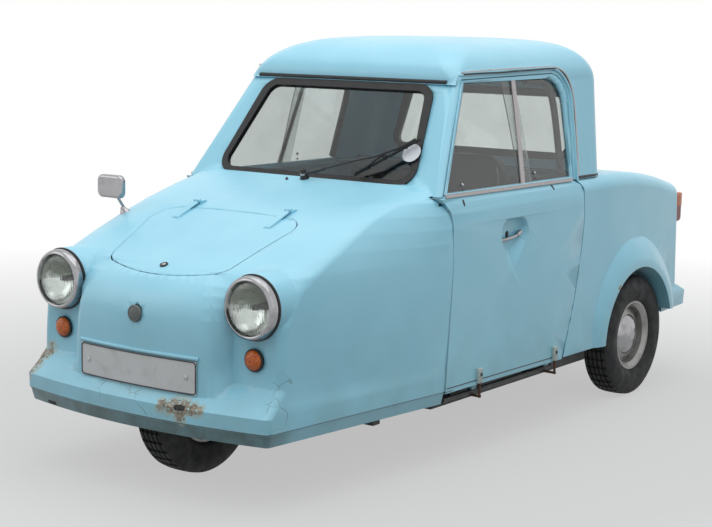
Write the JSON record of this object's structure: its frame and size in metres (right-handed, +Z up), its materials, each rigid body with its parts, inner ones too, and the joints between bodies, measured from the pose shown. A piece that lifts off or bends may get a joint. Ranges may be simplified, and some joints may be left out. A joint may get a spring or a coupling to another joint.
{
  "type": "three wheeled car",
  "caption": "Small enclosed single seat three wheeled car with one steered front wheel, a glass fibre body, a big windscreen, sliding doors and a rear engine under a lid.",
  "frame": {"origin": "on the ground at the middle of the car's length and width", "axes": "+X to the car's left, +Y to the tail, -Y to the nose, +Z up"},
  "size_m": [1.372, 2.9718, 1.5024],
  "materials": {
    "body_paint": "satin ice blue over glass fibre",
    "glass_clear": "clear",
    "headlamp_glass": "clear fluted",
    "chrome": "polished",
    "amber_lens": "clear amber",
    "tail_lens": "dark red and amber",
    "rubber": "dull black",
    "plate_metal": "silver, blank",
    "grey_plastic": "matt grey",
    "aluminium_trim": "bright",
    "frame_paint": "dull black",
    "floor_board": "dull dark grey",
    "seat_cover": "dark grey vinyl",
    "bulkhead_fibre": "rough unpainted fibre",
    "cast_metal": "rough",
    "rim_paint": "silver",
    "tyre_rubber": "dull black",
    "rusty_steel": "rusty"
  },
  "bodies": {
    "car_body": {"chassis_frame": "frame_paint", "floor_pan": "floor_board", "front_body": "body_paint", "front_skirt": "body_paint", "rear_body": "body_paint", "roof_shell": "body_paint", "rubber_seals": "rubber", "windscreen_glass": "glass_clear", "rear_window_glass": "glass_clear", "headlamp_bowls": "chrome", "headlamp_lenses": "headlamp_glass", "front_indicators": "amber_lens", "tail_lamps": "tail_lens", "number_plates": "plate_metal", "nose_cap": "grey_plastic", "wing_mirror": "chrome", "wiper": "frame_paint", "door_left": "body_paint", "door_right": "body_paint", "door_glass": "glass_clear", "window_channels": "aluminium_trim", "door_handles": "chrome", "door_hooks": "rusty_steel", "seat_frame": "frame_paint", "seat_cushion": "seat_cover", "seat_backrest": "seat_cover", "dashboard": "grey_plastic", "front_bulkhead": "bulkhead_fibre", "rear_bulkhead": "bulkhead_fibre", "trailing_arms": "frame_paint", "spring_dampers": "frame_paint", "engine_block": "cast_metal", "silencer": "cast_metal", "lid_hinges": "body_paint"},
    "bonnet": {"bonnet_lid": "body_paint"},
    "engine_cover": {"engine_lid": "body_paint"},
    "steering": {"front_fork": "frame_paint"},
    "tiller_bar": {"tiller": "frame_paint"},
    "front_wheel": {"front_rim": "rim_paint", "front_tyre": "tyre_rubber"},
    "rear_wheel_left": {"rear_rim_left": "rim_paint", "rear_tyre_left": "tyre_rubber"},
    "rear_wheel_right": {"rear_rim_right": "rim_paint", "rear_tyre_right": "tyre_rubber"}
  },
  "joints": [
    {"name": "bonnet_hinge", "type": "hinge", "parent": "car_body", "child": "bonnet", "pos_m": [0, -0.906, 0.911], "axis": [-1, 0, 0], "range_deg": [0, 62]},
    {"name": "engine_lid_hinge", "type": "hinge", "parent": "car_body", "child": "engine_cover", "pos_m": [0, 0.784, 0.9708], "axis": [1, 0, 0], "range_deg": [0, 60]},
    {"name": "steering_pivot", "type": "hinge", "parent": "car_body", "child": "steering", "pos_m": [0, -1.09, 0.56], "axis": [0, 0.2079, 0.9781], "range_deg": [-35, 35]},
    {"name": "tiller_pivot", "type": "hinge", "parent": "car_body", "child": "tiller_bar", "pos_m": [0.086, -0.8, 0.56], "axis": [0, 0.8678, 0.4969], "range_deg": [-49, 49]},
    {"name": "front_wheel_axle", "type": "hinge", "parent": "steering", "child": "front_wheel", "pos_m": [0, -1.136, 0.256], "axis": [1, 0, 0], "continuous": true},
    {"name": "rear_axle_left", "type": "hinge", "parent": "car_body", "child": "rear_wheel_left", "pos_m": [0.584, 0.929, 0.256], "axis": [1, 0, 0], "continuous": true},
    {"name": "rear_axle_right", "type": "hinge", "parent": "car_body", "child": "rear_wheel_right", "pos_m": [-0.584, 0.929, 0.256], "axis": [1, 0, 0], "continuous": true}
  ],
  "couplings": [
    {"joint": "tiller_pivot", "follows": "steering_pivot", "ratio": 1.4}
  ]
}
